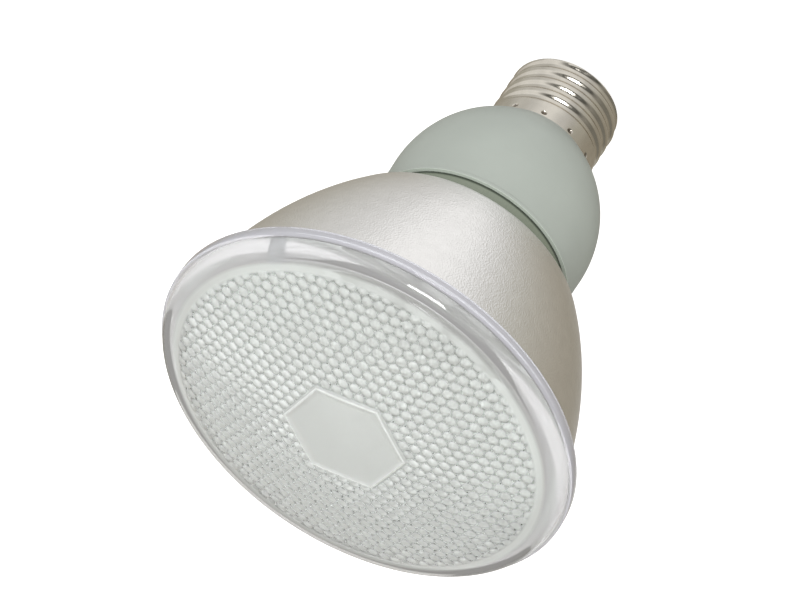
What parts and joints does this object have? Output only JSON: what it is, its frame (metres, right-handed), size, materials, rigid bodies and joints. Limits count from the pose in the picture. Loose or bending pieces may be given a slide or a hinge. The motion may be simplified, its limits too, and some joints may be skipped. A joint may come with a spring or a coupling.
{
  "type": "par bulb",
  "caption": "Reflector lamp with a screw base, ball-shaped ballast housing, satin metallised bell and clear domed pebbled lens over a fluorescent tube.",
  "frame": {"origin": "tip of the centre contact, on the lamp's axis", "axes": "+Z along the lamp's axis from the screw base to the lens"},
  "size_m": [0.095, 0.095, 0.1178],
  "materials": {
    "nickel": "bright nickel plate on the rolled shell",
    "base_glass": "black moulded insulator",
    "solder": "dull solder-tinned button",
    "housing_plastic": "fine matte grey-green moulding",
    "holder_plastic": "polished grey-green moulding",
    "bell_metal": "satin metallised with a fine grain",
    "adhesive": "pale cured adhesive",
    "lens_clear": "clear moulded cover with pebbles",
    "tube_glass": "white phosphor-coated glass",
    "board": "bare laminate",
    "ferrite": "dull ferrite",
    "copper": "enamelled wire",
    "capacitor_sleeve": "shrunk sleeve",
    "film_coat": "dipped coating",
    "package_black": "moulded package",
    "resistor_coat": "flameproof coating",
    "tinned_wire": "tinned"
  },
  "bodies": {
    "root": {"screw_shell": "nickel", "base_insulator": "base_glass", "centre_contact": "solder", "ballast_housing": "housing_plastic", "tube_holder": "holder_plastic", "reflector": "bell_metal", "lens_seal": "adhesive", "lens": "lens_clear", "fluorescent_tube": "tube_glass", "circuit_board": "board", "choke_core": "ferrite", "choke_winding": "copper", "smoothing_capacitor": "capacitor_sleeve", "film_capacitors": "film_coat", "transistors": "package_black", "drive_toroid": "ferrite", "drive_windings": "copper", "rectifier_diodes": "package_black", "input_choke_core": "ferrite", "input_choke_coil": "copper", "fuse_resistor": "resistor_coat", "contact_lead": "tinned_wire", "shell_lead": "tinned_wire", "filament_leads": "tinned_wire"}
  },
  "joints": []
}
